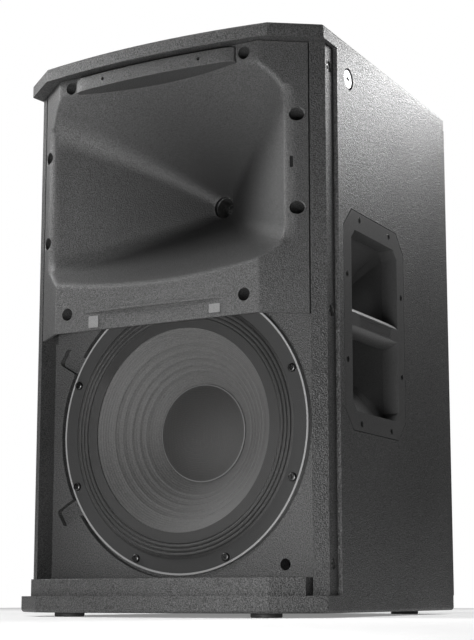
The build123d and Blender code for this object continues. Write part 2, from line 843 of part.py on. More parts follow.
def make_amp_cover():
    """Folded sheet cover round the electronics inside the box."""
    box_w = amp_width - 30
    box_h = amp_height - 30
    with BuildPart() as cover:
        with BuildSketch(rear_plane(rear_panel_back - amp_box_depth)):
            with Locations((0, amp_z)):
                RectangleRounded(box_w, box_h, 3.0)
        extrude(amount=amp_box_depth - fit_gap)
        with BuildSketch(rear_plane(rear_panel_back - amp_box_depth + 1.2)):
            with Locations((0, amp_z)):
                RectangleRounded(box_w - 2.4, box_h - 2.4, 2.0)
        extrude(amount=amp_box_depth, mode=Mode.SUBTRACT)
        with BuildSketch(rear_plane(rear_panel_back - amp_box_depth)):
            with Locations((0, amp_z - 60)):
                with GridLocations(12.0, 60.0, 10, 2):
                    RectangleRounded(4.0, 44.0, 1.9)
            with Locations((-80.0, amp_z + 130.0)):
                Circle(5.0)
        extrude(amount=1.2, mode=Mode.SUBTRACT)
    return cover


def make_amp_board():
    """Main circuit board on four pillars, with its larger components."""
    board_y = rear_panel_back - board_lift
    with BuildPart() as pcb:
        with BuildSketch(rear_plane(board_y)):
            with Locations((0, amp_z + 6)):
                Rectangle(186.0, 290.0)
        extrude(amount=1.6)
        with BuildSketch(rear_plane(board_y + 1.6)):
            with Locations((0, amp_z + 6)):
                with GridLocations(172.0, 276.0, 2, 2):
                    Circle(3.5)
        extrude(amount=board_lift - 1.6 - fit_gap)
        with BuildSketch(rear_plane(board_y)):
            with Locations((-30.0, 230.0), (-30.0, 262.0), (0.0, 230.0), (0.0, 262.0)):
                Circle(12.0)
        extrude(amount=-26.0)
        with BuildSketch(rear_plane(board_y)):
            with Locations((40.0, 330.0), (-20.0, 350.0), (30.0, 380.0)):
                Rectangle(26.0, 18.0)
        extrude(amount=-9.0)
    return pcb


def make_power_supply():
    """Transformer and chokes on the board's front side."""
    board_y = rear_panel_back - board_lift
    with BuildPart() as supply:
        with BuildSketch(rear_plane(board_y - 0.3)):
            with Locations((50.0, 232.0)):
                RectangleRounded(46.0, 52.0, 4.0)
        extrude(amount=-31.0)
        with BuildSketch(rear_plane(board_y - 0.3)):
            with Locations((-62.0, 300.0)):
                Circle(18.0)
        extrude(amount=-22.0)
        with BuildSketch(rear_plane(board_y - 0.3)):
            with Locations((-4.0, 296.0)):
                Rectangle(100.0, 8.0)
        extrude(amount=-3.0)
    return supply


def make_input_sockets():
    """Two combination sockets: flange, round bore and body, with a slot for the latch."""
    flange_y = amp_face
    with BuildPart() as sockets:
        for x, z in socket_spots:
            with BuildSketch(rear_plane(flange_y)):
                with Locations((-x, z)):
                    RectangleRounded(27.0, 32.0, 2.5)
            extrude(amount=2.2)
            with BuildSketch(rear_plane(flange_y)):
                with Locations((-x, z)):
                    Circle(11.9)
            extrude(amount=-22.0)
            with BuildSketch(rear_plane(flange_y + 2.2)):
                with Locations((-x, z)):
                    Circle(9.6)
            extrude(amount=-19.0, mode=Mode.SUBTRACT)
            with BuildSketch(rear_plane(flange_y - 16.8)):
                with Locations((-x, z)):
                    Circle(5.2)
                    Circle(3.2, mode=Mode.SUBTRACT)
            extrude(amount=9.0)
            with BuildSketch(rear_plane(flange_y + 2.2)):
                with Locations((-x, z + latch_rise)):
                    Rectangle(7.0, 4.2)
            extrude(amount=-7.0, mode=Mode.SUBTRACT)
    return sockets


def make_input_latch(spot):
    """Release tab above a socket bore."""
    x, z = spot
    with BuildPart() as latch:
        with BuildSketch(rear_plane(amp_face + 3.6)):
            with Locations((-x, z + latch_rise)):
                RectangleRounded(6.2, 3.4, 0.8)
        extrude(amount=-6.0)
    return latch


def make_link_socket():
    """Output socket: shallow cup with three pins."""
    x, z = link_spot
    with BuildPart() as link:
        with BuildSketch(rear_plane(amp_face)):
            with Locations((-x, z)):
                RectangleRounded(27.0, 32.0, 2.5)
        extrude(amount=2.2)
        with BuildSketch(rear_plane(amp_face)):
            with Locations((-x, z)):
                Circle(10.9)
        extrude(amount=-18.0)
        with BuildSketch(rear_plane(amp_face + 2.2)):
            with Locations((-x, z)):
                Circle(9.4)
        extrude(amount=-16.0, mode=Mode.SUBTRACT)
        with BuildSketch(rear_plane(amp_face - 14.0)):
            with Locations((-x, z)):
                with PolarLocations(4.6, 3, start_angle=30):
                    Circle(1.2)
        extrude(amount=12.0)
    return link


def make_knob(spot, radius, tall):
    """Fluted knob with a pointer line cut in its face."""
    x, z = spot
    with BuildPart() as knob:
        with BuildSketch(rear_plane(amp_face + 0.8)):
            with Locations((-x, z)):
                Circle(radius)
        extrude(amount=tall)
        chamfer(knob.faces().sort_by(Axis.Y)[-1].edges(), length=0.8)
        with BuildSketch(rear_plane(amp_face + 0.8)):
            with Locations((-x, z)):
                with PolarLocations(radius + 0.4, 14):
                    Circle(1.0)
        extrude(amount=tall, mode=Mode.SUBTRACT)
        with BuildSketch(rear_plane(amp_face)):
            with Locations((-x, z)):
                Circle(3.0)
        extrude(amount=0.8)
        with BuildSketch(rear_plane(amp_face)):
            with Locations((-x, z)):
                Circle(3.0)
        extrude(amount=-8.0)
        with BuildSketch(rear_plane(amp_face + 0.8 + tall)):
            with Locations((-x, z + radius * 0.55)):
                Rectangle(0.9, radius * 0.7)
        extrude(amount=-0.5, mode=Mode.SUBTRACT)
    return knob


def make_menu_shaft():
    """Encoder body's moving shaft: it is pushed along its length and carries the knob."""
    x, z = menu_spot
    with BuildPart() as shaft:
        with BuildSketch(rear_plane(amp_face - 14.0)):
            with Locations((-x, z)):
                Circle(2.4)
        extrude(amount=20.0)
    return shaft


def make_menu_knob():
    x, z = menu_spot
    knob = make_knob(menu_spot, 9.0, 6.4)
    with BuildPart() as bored:
        add(knob.part)
        with BuildSketch(rear_plane(amp_face - 10.0)):
            with Locations((-x, z)):
                Circle(4.0)
        extrude(amount=10.8, mode=Mode.SUBTRACT)
        with BuildSketch(rear_plane(amp_face - 10.0)):
            with Locations((-x, z)):
                Circle(2.7)
        extrude(amount=16.3, mode=Mode.SUBTRACT)
    return bored


def make_display_window():
    """Clear window in a thin frame, let into the plate."""
    x, z = display_spot
    with BuildPart() as window:
        with BuildSketch(rear_plane(amp_face)):
            with Locations((-x, z)):
                RectangleRounded(86.0, 46.0, 3.0)
        extrude(amount=1.4)
        with BuildSketch(rear_plane(amp_face)):
            with Locations((-x, z)):
                RectangleRounded(79.4, 39.4, 2.0)
        extrude(amount=-6.0)
        with BuildSketch(rear_plane(amp_face + 1.4)):
            with Locations((-x, z)):
                RectangleRounded(70.0, 34.0, 1.5)
        extrude(amount=-0.8, mode=Mode.SUBTRACT)
    return window


def make_power_inlet():
    """Three-pin mains inlet with its recess."""
    x, z = inlet_spot
    with BuildPart() as inlet:
        with BuildSketch(rear_plane(amp_face)):
            with Locations((-x, z)):
                RectangleRounded(34.0, 30.0, 3.0)
        extrude(amount=2.4)
        with BuildSketch(rear_plane(amp_face)):
            with Locations((-x, z)):
                Rectangle(28.0, 24.0)
        extrude(amount=-22.0)
        with BuildSketch(rear_plane(amp_face + 2.4)):
            with Locations((-x, z)):
                Rectangle(24.4, 16.6)
                chamfer(vertices().group_by(Axis.Y)[-1], length=4.0)
        extrude(amount=-19.0, mode=Mode.SUBTRACT)
        with BuildSketch(rear_plane(amp_face - 16.6)):
            with Locations((-x - 7.0, z - 2.0), (-x + 7.0, z - 2.0), (-x, z + 2.4)):
                Rectangle(2.0, 4.0)
        extrude(amount=14.0)
    return inlet


def make_switch_frame():
    x, z = switch_spot
    with BuildPart() as frame:
        with BuildSketch(rear_plane(amp_face)):
            with Locations((-x, z)):
                RectangleRounded(32.0, 26.0, 2.0)
        extrude(amount=1.6)
        with BuildSketch(rear_plane(amp_face)):
            with Locations((-x, z)):
                Rectangle(28.0, 22.0)
        extrude(amount=-16.0)
        with BuildSketch(rear_plane(amp_face + 1.6)):
            with Locations((-x, z)):
                Rectangle(24.6, 18.6)
        extrude(amount=-13.0, mode=Mode.SUBTRACT)
    return frame


def make_power_rocker():
    """Rocker seen from the side as a shallow V on its pivot."""
    x, z = switch_spot
    with BuildPart() as rocker:
        with BuildSketch(Plane(origin=(x - 11.6, amp_face, z), x_dir=(0, 1, 0), z_dir=(1, 0, 0))):
            with BuildLine():
                Polyline((3.4, 8.4), (1.6, 0), (3.4, -8.4), (-2.0, -8.2), (-7.0, -3.0), (-7.0, 3.0),
                         (-2.0, 8.2), close=True)
            make_face()
        extrude(amount=23.2)
    return rocker


# ================= base =================

def make_pole_socket():
    """Flanged cup in the bottom panel for a 35 mm stand pole."""
    with BuildPart() as cup:
        with BuildSketch(Plane.XY.offset(foot_height + 0.2)):
            with Locations((0, pole_y)):
                Circle(37.0)
        extrude(amount=2.8)
        with BuildSketch(Plane.XY.offset(foot_height + 0.2)):
            with Locations((0, pole_y)):
                Circle(pole_radius + 3.2)
        extrude(amount=pole_depth + 3.0)
        with BuildSketch(Plane.XY.offset(foot_height + 0.2)):
            with Locations((0, pole_y)):
                Circle(pole_radius)
        extrude(amount=pole_depth, mode=Mode.SUBTRACT)
        with BuildSketch(Plane.XY.offset(foot_height)):
            with Locations((0, pole_y)):
                with PolarLocations(30.0, 4, start_angle=45):
                    Circle(2.1)
        extrude(amount=4.0, mode=Mode.SUBTRACT)
    return cup


def make_rubber_feet():
    """Round feet with a screw recess and a shallow groove across the tread."""
    with BuildPart() as foot:
        with BuildSketch(Plane.XY):
            Circle(foot_radius)
        extrude(amount=foot_height)
        fillet(foot.faces().sort_by(Axis.Z)[0].edges(), radius=1.2)
        with BuildSketch(Plane.XY):
            Circle(5.0)
        extrude(amount=2.8, mode=Mode.SUBTRACT)
        with BuildSketch(Plane.XY):
            Rectangle(7.0, 2 * foot_radius + 2)
        extrude(amount=1.3, mode=Mode.SUBTRACT)
        with BuildSketch(Plane.XY):
            Circle(2.1)
        extrude(amount=foot_height, mode=Mode.SUBTRACT)
    with BuildPart() as feet:
        with Locations(*[(x, y, 0) for x, y in foot_spots]):
            add(foot.part)
    return feet


def upward(spots, z):
    """Planes whose normal points down, for screws driven up from below."""
    return [Plane(origin=(x, y, z), x_dir=(1, 0, 0), z_dir=(0, 0, -1)) for x, y in spots]


def make_rigging_plugs():
    """Washer-headed plug screws that close the suspension points."""
    spot = side_plane(kink_y + rigging_setback, rigging_z, 4.0)
    sides = both_sides(make_screws([spot], 11.4, 3.2, 4.8, 22.0, 4.6))
    rear = Plane(origin=(0, rear_panel_back, suspension_rear_z), x_dir=(-1, 0, 0), z_dir=(0, 1, 0))
    last = make_screws([rear], 11.4, 3.2, 4.8, 22.0, 4.6)
    with BuildPart() as plugs:
        add(sides.part)
        add(last.part)
    return plugs


def make_threaded_inserts():
    """Flanged inserts: three suspension points and six grille fixings."""
    with BuildPart() as right:
        with BuildSketch(side_plane(kink_y + rigging_setback, rigging_z, 4.2)):
            Circle(6.7)
            Circle(5.0, mode=Mode.SUBTRACT)
        extrude(amount=-14.0)
        for z in grille_hole_z:
            with BuildSketch(side_plane(kink_y + grille_hole_setback, z, rebate_inset + 1.8)):
                Circle(3.0)
                Circle(2.0, mode=Mode.SUBTRACT)
            extrude(amount=-8.0)
    with BuildPart() as inserts:
        add(right.part)
        add(right.part.mirror(Plane.YZ))
        with BuildSketch(rear_plane(rear_panel_back - 0.2)):
            with Locations((0, suspension_rear_z)):
                Circle(6.7)
                Circle(5.0, mode=Mode.SUBTRACT)
        extrude(amount=-14.0)
    return inserts


# ================= internal leads =================

def bend_radii(points):
    """Bend at each inner point of a route, as wide as its shorter neighbouring run allows."""
    radii = []
    for before, here, after in zip(points, points[1:], points[2:]):
        run_in = Vector(*here) - Vector(*before)
        run_out = Vector(*after) - Vector(*here)
        half_turn = radians(run_in.get_angle(run_out)) / 2
        radii.append(0.45 * min(run_in.length, run_out.length) / tan(half_turn))
    return radii


def lead(points, radius=1.6):
    """Lead of straight runs and tangent arcs through a hand-chosen route."""
    with BuildPart() as cable:
        with BuildLine() as route:
            FilletPolyline(*points, radius=bend_radii(points))
        with BuildSketch(Plane(origin=points[0], z_dir=Vector(*points[1]) - Vector(*points[0]))):
            Circle(radius)
        sweep(path=route.wires()[0])
    return cable


def make_driver_leads():
    """Two leads from the amplifier cover, one to the woofer terminals and one to the horn driver."""
    start_y = rear_panel_back - amp_box_depth - 0.2
    brace_y = kink_y + 261.0
    tab_y = baffle_y + 98.4
    tab_z = woofer_z + 84.6
    to_woofer = [(80.0, start_y, 428.0), (80.0, start_y - 17.0, 426.0), (70.0, start_y - 34.0, 402.0),
                 (60.0, brace_y, 374.0), (60.0, brace_y, 338.0), (52.0, 50.0, 314.0),
                 (36.0, 20.0, 300.0), (18.0, -6.0, 289.0), (7.0, tab_y, tab_z)]
    to_horn = [(80.0, start_y, 434.0), (80.0, start_y - 18.0, 436.0), (74.0, 66.0, 448.0),
               (70.0, 38.0, 457.0), (66.0, 12.0, 461.0), (57.0, -6.0, 462.0), (45.8, -11.3, 462.0)]
    with BuildPart() as leads:
        add(lead(to_woofer).part)
        add(lead(to_horn).part)
    return leads


def make_woofer_terminals():
    """Terminal block on the back of the basket with two tabs."""
    with BuildPart() as block:
        with BuildSketch(front_plane(baffle_y + 92.3)):
            with Locations((0, woofer_z + 78.6)):
                Rectangle(26.0, 7.0)
        extrude(amount=-9.4)
        with BuildSketch(front_plane(baffle_y + 97.0)):
            with Locations((-7.0, woofer_z + 84.3), (7.0, woofer_z + 84.3)):
                Rectangle(4.8, 5.2)
        extrude(amount=-0.8)
    return block


# ================= the whole cabinet =================

def make_all():
    """Build every piece once and write it to its own file."""
    right_side = make_right_side()
    right_handle = make_right_handle()
    seat_y = baffle_y - fit_gap - well_floor
    handle_seat = side_plane(kink_y + handle_setback, handle_z, 1.0)
    handle_spots = [Plane(origin=handle_seat.from_local_coords(Vector(u, v, 0)),
                          x_dir=handle_seat.x_dir, z_dir=handle_seat.z_dir)
                    for u, v in handle_screw_spots()]
    pieces = {
        "top_panel": make_top_panel(),
        "bottom_panel": make_bottom_panel(),
        "right_side_panel": right_side,
        "left_side_panel": mirrored(right_side),
        "front_baffle": make_front_baffle(),
        "rear_panel": make_rear_panel(),
        "bottom_batten": make_bottom_batten(),
        "inner_brace": make_inner_brace(),
        "damping_wadding": make_damping_wadding(),
        "horn": make_horn(),
        "horn_screws": make_screws(facing(horn_screw_spots(), seat_y, -1), 5.4, 3.0, 2.3, 20.0, 2.8),
        "horn_badges": make_horn_badges(),
        "indicator_window": make_indicator_window(),
        "hf_driver_plate": make_hf_driver_plate(),
        "hf_magnet": turned(driver_seat + 8.2, horn_axis_z, [
            (0, 26.0), (0, 45.0), (13.0, 45.0), (13.0, 26.0)]),
        "hf_phase_plug": make_hf_phase_plug(),
        "hf_diaphragm": make_hf_diaphragm(),
        "hf_rear_cover": turned(driver_seat + 21.4, horn_axis_z, [
            (0, 23.4), (0, 45.0), (6.0, 45.0), (12.0, 41.0), (24.0, 36.0), (26.0, 0), (23.0, 0),
            (21.0, 33.0), (10.0, 36.0), (5.0, 36.0), (5.0, 23.4)]),
        "hf_bolts": make_hf_bolts(),
        "woofer_basket": make_woofer_basket(),
        "woofer_gasket": make_woofer_gasket(),
        "woofer_surround": make_woofer_surround(),
        "woofer_cone": make_woofer_cone(),
        "woofer_dust_cap": make_woofer_dust_cap(),
        "woofer_voice_coil": turned(baffle_y + 64.2, woofer_z, [
            (0, coil_inner), (0, coil_outer), (48.0, coil_outer), (48.0, coil_inner)]),
        "woofer_spider": make_woofer_spider(),
        "woofer_top_plate": turned(baffle_y + 92.2, woofer_z, [
            (0, 39.6), (0, 74.0), (9.8, 74.0), (9.8, 39.6)]),
        "woofer_magnet": turned(baffle_y + 102.2, woofer_z, [
            (0, 48.0), (0, 78.0), (21.8, 78.0), (21.8, 48.0)]),
        "woofer_back_plate": turned(baffle_y + 90.0, woofer_z, [
            (0, 12.0), (0, 35.6), (34.2, 35.6), (34.2, 74.0), (44.0, 74.0), (44.0, 12.0)]),
        "woofer_terminals": make_woofer_terminals(),
        "woofer_screws": make_screws(
            facing(woofer_screw_spots(), baffle_y - 0.05, -1), 4.6, 3.0, 2.3, 20.0, 2.4),
        "driver_leads": make_driver_leads(),
        "right_handle": right_handle,
        "left_handle": mirrored(right_handle),
        "handle_nameplates": both_sides(make_nameplate()),
        "handle_screws": both_sides(make_screws(handle_spots, 3.2, 0.9, 1.5, 11.0, 1.7)),
        "rigging_plugs": make_rigging_plugs(),
        "threaded_inserts": make_threaded_inserts(),
        "amp_plate": make_amp_plate(),
        "amp_heatsink": make_amp_heatsink(),
        "amp_cover": make_amp_cover(),
        "amp_circuit_board": make_amp_board(),
        "amp_power_supply": make_power_supply(),
        "amp_screws": make_screws(facing(amp_screw_spots(), amp_face, 1), 4.0, 2.2, 1.7, 16.0, 2.0),
        "display_window": make_display_window(),
        "input_sockets": make_input_sockets(),
        "input_latch_1": make_input_latch(socket_spots[0]),
        "input_latch_2": make_input_latch(socket_spots[1]),
        "link_socket": make_link_socket(),
        "level_knob_1": make_knob(level_spots[0], 8.0, 6.4),
        "level_knob_2": make_knob(level_spots[1], 8.0, 6.4),
        "menu_shaft": make_menu_shaft(),
        "menu_knob": make_menu_knob(),
        "power_inlet": make_power_inlet(),
        "power_switch_frame": make_switch_frame(),
        "power_rocker": make_power_rocker(),
        "pole_socket": make_pole_socket(),
        "pole_socket_screws": make_screws(
            upward([(30 * cos(radians(a)), pole_y + 30 * sin(radians(a))) for a in (45, 135, 225, 315)],
                   foot_height + 0.2), 3.6, 2.0, 1.7, 12.0, 1.8),
        "rubber_feet": make_rubber_feet(),
        "foot_screws": make_screws(upward(foot_spots, 2.8), 4.4, 1.8, 1.9, 12.0, 2.0),
    }
    for name, piece in pieces.items():
        save(piece, name)
    return pieces


make_all()
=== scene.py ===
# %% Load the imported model
import json
import math
import bpy
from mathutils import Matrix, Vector


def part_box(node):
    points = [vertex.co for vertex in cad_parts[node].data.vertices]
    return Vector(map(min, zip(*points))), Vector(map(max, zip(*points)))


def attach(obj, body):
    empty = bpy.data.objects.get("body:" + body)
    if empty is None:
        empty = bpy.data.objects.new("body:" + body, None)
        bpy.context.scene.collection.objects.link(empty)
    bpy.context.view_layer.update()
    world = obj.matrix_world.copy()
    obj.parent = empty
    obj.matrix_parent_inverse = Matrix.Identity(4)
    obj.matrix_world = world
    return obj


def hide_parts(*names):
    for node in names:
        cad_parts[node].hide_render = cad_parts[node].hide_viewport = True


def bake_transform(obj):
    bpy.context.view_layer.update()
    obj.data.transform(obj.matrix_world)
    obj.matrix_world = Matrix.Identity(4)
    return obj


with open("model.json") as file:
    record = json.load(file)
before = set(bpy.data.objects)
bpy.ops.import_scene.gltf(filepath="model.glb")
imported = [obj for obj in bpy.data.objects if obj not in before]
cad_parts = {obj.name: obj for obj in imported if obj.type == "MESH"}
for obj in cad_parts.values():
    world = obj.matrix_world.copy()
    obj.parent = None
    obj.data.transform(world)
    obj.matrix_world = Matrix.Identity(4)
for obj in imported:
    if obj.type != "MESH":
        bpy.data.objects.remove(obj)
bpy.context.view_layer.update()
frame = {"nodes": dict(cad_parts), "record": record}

nodes = frame["nodes"]
scene = bpy.context.scene

# %% [markdown]
# # A powered loudspeaker cabinet
# The object is a black wooden cabinet with a moulded horn over a round woofer. The frame brings
# every solid in metres: +Z is up and the front faces -Y. Most solids already have the right
# shape and only need a finish. The horn gets a new skin, because its lips are soft, and the
# round woofer parts get smooth copies.

# %% [markdown]
# ## Small helpers
# An operator works on everything that is selected, so each step starts with nothing selected.
# `only` selects one object and makes it active, which is what a click does by hand.

# %% Selecting
MM = 0.001


def select_none():
    bpy.ops.object.select_all(action="DESELECT")


def only(piece):
    select_none()
    piece.select_set(True)
    bpy.context.view_layer.objects.active = piece


def apply_modifier(piece, kind, **settings):
    only(piece)
    modifier = piece.modifiers.new(kind.title(), kind)
    for key, value in settings.items():
        setattr(modifier, key, value)
    bpy.ops.object.modifier_apply(modifier=modifier.name)


def edit_all(piece):
    only(piece)
    bpy.ops.object.mode_set(mode="EDIT")
    bpy.ops.mesh.select_all(action="SELECT")


def settle(piece):
    """Put the piece's place into its mesh, as a CAD node has it."""
    only(piece)
    bpy.ops.object.transform_apply(location=True, rotation=True, scale=True)


def finish_piece(piece, name, body, slot_name, *replaced):
    piece.name = name
    piece.data.name = name
    if body:
        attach(piece, body)
    if replaced:
        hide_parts(*replaced)
    print(name, len(piece.data.polygons), "faces")


# %% [markdown]
# ## The camera and the light
# The camera stands low at the front right, so the front and the right side both show. A soft
# light stands low in front, so walls that face up stay dark. A smaller one at the upper left
# brightens the left flap, and a strip close above the right side fades down that panel. The
# floor and the surroundings are nearly white, as in a catalogue picture.

# %% Camera
camera_data = bpy.data.cameras.new("camera")
camera = bpy.data.objects.new("camera", camera_data)
scene.collection.objects.link(camera)
camera.location = (0.88099, -1.48121, 0.02216)
camera.rotation_euler = (math.radians(99.33), math.radians(0.1), math.radians(30.16))
camera_data.lens = 84.9
camera_data.sensor_width = 36.0
camera_data.shift_x = -0.0334
camera_data.shift_y = 0.0426
scene.camera = camera
scene.view_settings.view_transform = "Standard"


# %% Lights
def area_light(name, place, target, width, height, power):
    data = bpy.data.lights.new(name, "AREA")
    data.shape = "RECTANGLE"
    data.size, data.size_y, data.energy = width, height, power
    light = bpy.data.objects.new(name, data)
    scene.collection.objects.link(light)
    light.location = place
    aim = Vector(target) - Vector(place)
    light.rotation_euler = aim.to_track_quat("-Z", "Y").to_euler()
    light.visible_camera = False


area_light("front_light", (0.24, -1.10, 0.04), (0.0, -0.15, 0.36), 0.45, 0.2, 13)
area_light("left_light", (-0.90, -0.42, 0.90), (-0.14, -0.18, 0.60), 0.30, 0.30, 9)
area_light("side_light", (0.34, 0.30, 0.75), (0.19, 0.22, 0.52), 0.40, 0.10, 4.2)
area_light("top_light", (-0.4, -0.5, 1.9), (0.0, 0.0, 0.6), 1.0, 1.0, 12)

# %% Surroundings
world = bpy.data.worlds.new("studio")
world.use_nodes = True
scene.world = world
sky = world.node_tree
sky.nodes.clear()
seen_white = sky.nodes.new("ShaderNodeBackground")
seen_white.inputs["Strength"].default_value = 1.0
fill_light = sky.nodes.new("ShaderNodeBackground")
fill_light.inputs["Color"].default_value = (1, 1, 1, 1)
fill_light.inputs["Strength"].default_value = 0.03
seen_white.inputs["Color"].default_value = (1, 1, 1, 1)
ray = sky.nodes.new("ShaderNodeLightPath")
choose = sky.nodes.new("ShaderNodeMixShader")
world_out = sky.nodes.new("ShaderNodeOutputWorld")
sky.links.new(ray.outputs["Is Camera Ray"], choose.inputs["Fac"])
sky.links.new(fill_light.outputs[0], choose.inputs[1])
sky.links.new(seen_white.outputs[0], choose.inputs[2])
sky.links.new(choose.outputs[0], world_out.inputs["Surface"])

# %% [markdown]
# ## Shared shader groups
# Nearly every black surface here has a grain: coarse pebbles in the cabinet's paint, a finer one
# in the mouldings. A group holds that pattern once, and each material sets its size and depth.
# Groups hand out only masks and heights. The Principled shader stays in the material.


# %% Group building
def new_group(name, inputs, outputs):
    tree = bpy.data.node_groups.new(name, "ShaderNodeTree")
    for label, kind, value in inputs:
        socket = tree.interface.new_socket(label, in_out="INPUT", socket_type=kind)
        if value is not None:
            socket.default_value = value
    for label in outputs:
        tree.interface.new_socket(label, in_out="OUTPUT", socket_type="NodeSocketFloat")
    return tree, tree.nodes.new("NodeGroupInput"), tree.nodes.new("NodeGroupOutput")


def math_node(tree, operation, first, second):
    node = tree.nodes.new("ShaderNodeMath")
    node.operation = operation
    for socket, value in zip(node.inputs, (first, second)):
        if hasattr(value, "links"):
            tree.links.new(value, socket)
        else:
            socket.default_value = value
    return node.outputs[0]


FLOAT, VECTOR = "NodeSocketFloat", "NodeSocketVector"


# %% Grain group
def build_grain():
    """Pebbles: rounded cells over a finer noise."""
    tree, given, result = new_group(
        "pebble_grain", [("Place", VECTOR, None), ("Scale", FLOAT, 600.0)], ["Height", "Mask"])
    fine = tree.nodes.new("ShaderNodeTexNoise")
    fine.inputs["Detail"].default_value = 2.0
    cells = tree.nodes.new("ShaderNodeTexVoronoi")
    cells.feature = "SMOOTH_F1"
    wide = tree.nodes.new("ShaderNodeTexNoise")
    wide.inputs["Scale"].default_value = 6.0
    for texture in (fine, cells, wide):
        tree.links.new(given.outputs["Place"], texture.inputs["Vector"])
    tree.links.new(given.outputs["Scale"], fine.inputs["Scale"])
    tree.links.new(math_node(tree, "MULTIPLY", given.outputs["Scale"], 0.8), cells.inputs["Scale"])
    bumps = math_node(tree, "SUBTRACT", 1.0, cells.outputs["Distance"])
    height = math_node(tree, "ADD", math_node(tree, "MULTIPLY", bumps, 0.6), fine.outputs["Fac"])
    tree.links.new(height, result.inputs["Height"])
    speck = math_node(tree, "MULTIPLY", math_node(tree, "SUBTRACT", fine.outputs["Fac"], 0.36), 3.4)
    patch = math_node(tree, "MULTIPLY", math_node(tree, "SUBTRACT", wide.outputs["Fac"], 0.5), 0.5)
    clamp = tree.nodes.new("ShaderNodeClamp")
    tree.links.new(math_node(tree, "ADD", speck, patch), clamp.inputs["Value"])
    tree.links.new(clamp.outputs[0], result.inputs["Mask"])
    return tree


grain_group = build_grain()


# %% Ring group
def build_rings():
    """Fine grooves round the woofer's axis, and the distance from that axis."""
    tree, given, result = new_group(
        "turned_rings", [("Place", VECTOR, None), ("Spacing", FLOAT, 0.002)], ["Height", "Radius"])
    split = tree.nodes.new("ShaderNodeSeparateXYZ")
    tree.links.new(given.outputs["Place"], split.inputs[0])
    squares = [math_node(tree, "MULTIPLY", split.outputs[i], split.outputs[i]) for i in (0, 2)]
    radius = math_node(tree, "SQRT", math_node(tree, "ADD", *squares), 0.0)
    turns = math_node(tree, "DIVIDE", radius, given.outputs["Spacing"])
    wave = math_node(tree, "SINE", math_node(tree, "MULTIPLY", turns, 2 * math.pi), 0.0)
    tree.links.new(wave, result.inputs["Height"])
    tree.links.new(radius, result.inputs["Radius"])
    return tree


ring_group = build_rings()


# %% Weave group
def build_weave():
    """Threads over and under, along X and Z."""
    tree, given, result = new_group(
        "woven_threads", [("Place", VECTOR, None), ("Thread", FLOAT, 0.0012)], ["Height"])
    split = tree.nodes.new("ShaderNodeSeparateXYZ")
    tree.links.new(given.outputs["Place"], split.inputs[0])
    waves = []
    for axis in (0, 1, 2):
        turns = math_node(tree, "DIVIDE", split.outputs[axis], given.outputs["Thread"])
        waves.append(math_node(tree, "SINE", math_node(tree, "MULTIPLY", turns, math.pi), 0.0))
    crossed = math_node(tree, "MULTIPLY", waves[0], math_node(tree, "ADD", waves[1], waves[2]))
    tree.links.new(crossed, result.inputs["Height"])
    return tree


weave_group = build_weave()
print("groups", [tree.name for tree in bpy.data.node_groups])

# %% [markdown]
# ## Materials
# One material per slot of the record. Each has two tones that the grain mixes, a roughness that
# follows the same grain, and a bump from its height. A round piece can change tone at a radius,
# which paints light into the colour: a painted highlight on the frame's rim and on the dust cap's
# edge, and painted shade in the horn's throat. A value that is the same all over is set on the
# Principled socket itself.


# %% Material recipe
def mix_tones(tree, mask, dark, light):
    mix = tree.nodes.new("ShaderNodeMix")
    mix.data_type = "RGBA"
    for socket, tone in ((mix.inputs[6], dark), (mix.inputs[7], light)):
        if hasattr(tone, "links"):
            tree.links.new(tone, socket)
        else:
            socket.default_value = (*tone, 1)
    tree.links.new(mask, mix.inputs[0])
    return mix.outputs[2]


def vary(tree, mask, low, high, start=0.0, end=1.0):
    spread = tree.nodes.new("ShaderNodeMapRange")
    spread.inputs["From Min"].default_value = start
    spread.inputs["From Max"].default_value = end
    spread.inputs["To Min"].default_value = low
    spread.inputs["To Max"].default_value = high
    tree.links.new(mask, spread.inputs["Value"])
    return spread.outputs[0]


def bump(tree, shader, height, depth):
    node = tree.nodes.new("ShaderNodeBump")
    node.inputs["Distance"].default_value = depth
    node.inputs["Strength"].default_value = 1.0
    tree.links.new(height, node.inputs["Height"])
    tree.links.new(node.outputs[0], shader.inputs["Normal"])


def finish_of(name, dark, light, scale=900.0, depth=0.0002, rough=(0.45, 0.65), stretch=(1, 1, 1),
              centre=(0, 0, 0), pattern=None, spacing=0.002, edge=None, **constants):
    material = bpy.data.materials.new(name)
    material.use_nodes = True
    tree = material.node_tree
    shader = tree.nodes["Principled BSDF"]
    for label, value in constants.items():
        shader.inputs[label.replace("_", " ")].default_value = value
    place = tree.nodes.new("ShaderNodeTexCoord")
    mapping = tree.nodes.new("ShaderNodeMapping")
    mapping.inputs["Location"].default_value = [-c * s for c, s in zip(centre, stretch)]
    mapping.inputs["Scale"].default_value = stretch
    tree.links.new(place.outputs["Object"], mapping.inputs["Vector"])
    grain = tree.nodes.new("ShaderNodeGroup")
    grain.node_tree = grain_group
    grain.inputs["Scale"].default_value = scale
    tree.links.new(mapping.outputs[0], grain.inputs["Place"])
    mask, height = grain.outputs["Mask"], grain.outputs["Height"]
    if pattern:
        extra = tree.nodes.new("ShaderNodeGroup")
        extra.node_tree = pattern
        extra.inputs[1].default_value = spacing
        tree.links.new(mapping.outputs[0], extra.inputs["Place"])
        height = math_node(tree, "ADD", height, extra.outputs["Height"])
    colour = mix_tones(tree, mask, dark, light)
    # The edge ring paints light into the colour at a radius: painted highlights on the frame's rim and
    # the dust cap's edge, painted shade in the horn's throat.
    if edge:
        start, end, tone = edge
        rings = tree.nodes.new("ShaderNodeGroup")
        rings.node_tree = ring_group
        tree.links.new(mapping.outputs[0], rings.inputs["Place"])
        painted_light_mask = vary(tree, rings.outputs["Radius"], 0.0, 1.0, start, end)
        colour = mix_tones(tree, painted_light_mask, colour, tone)
    tree.links.new(colour, shader.inputs["Base Color"])
    tree.links.new(vary(tree, mask, *rough), shader.inputs["Roughness"])
    bump(tree, shader, height, depth)
    return material


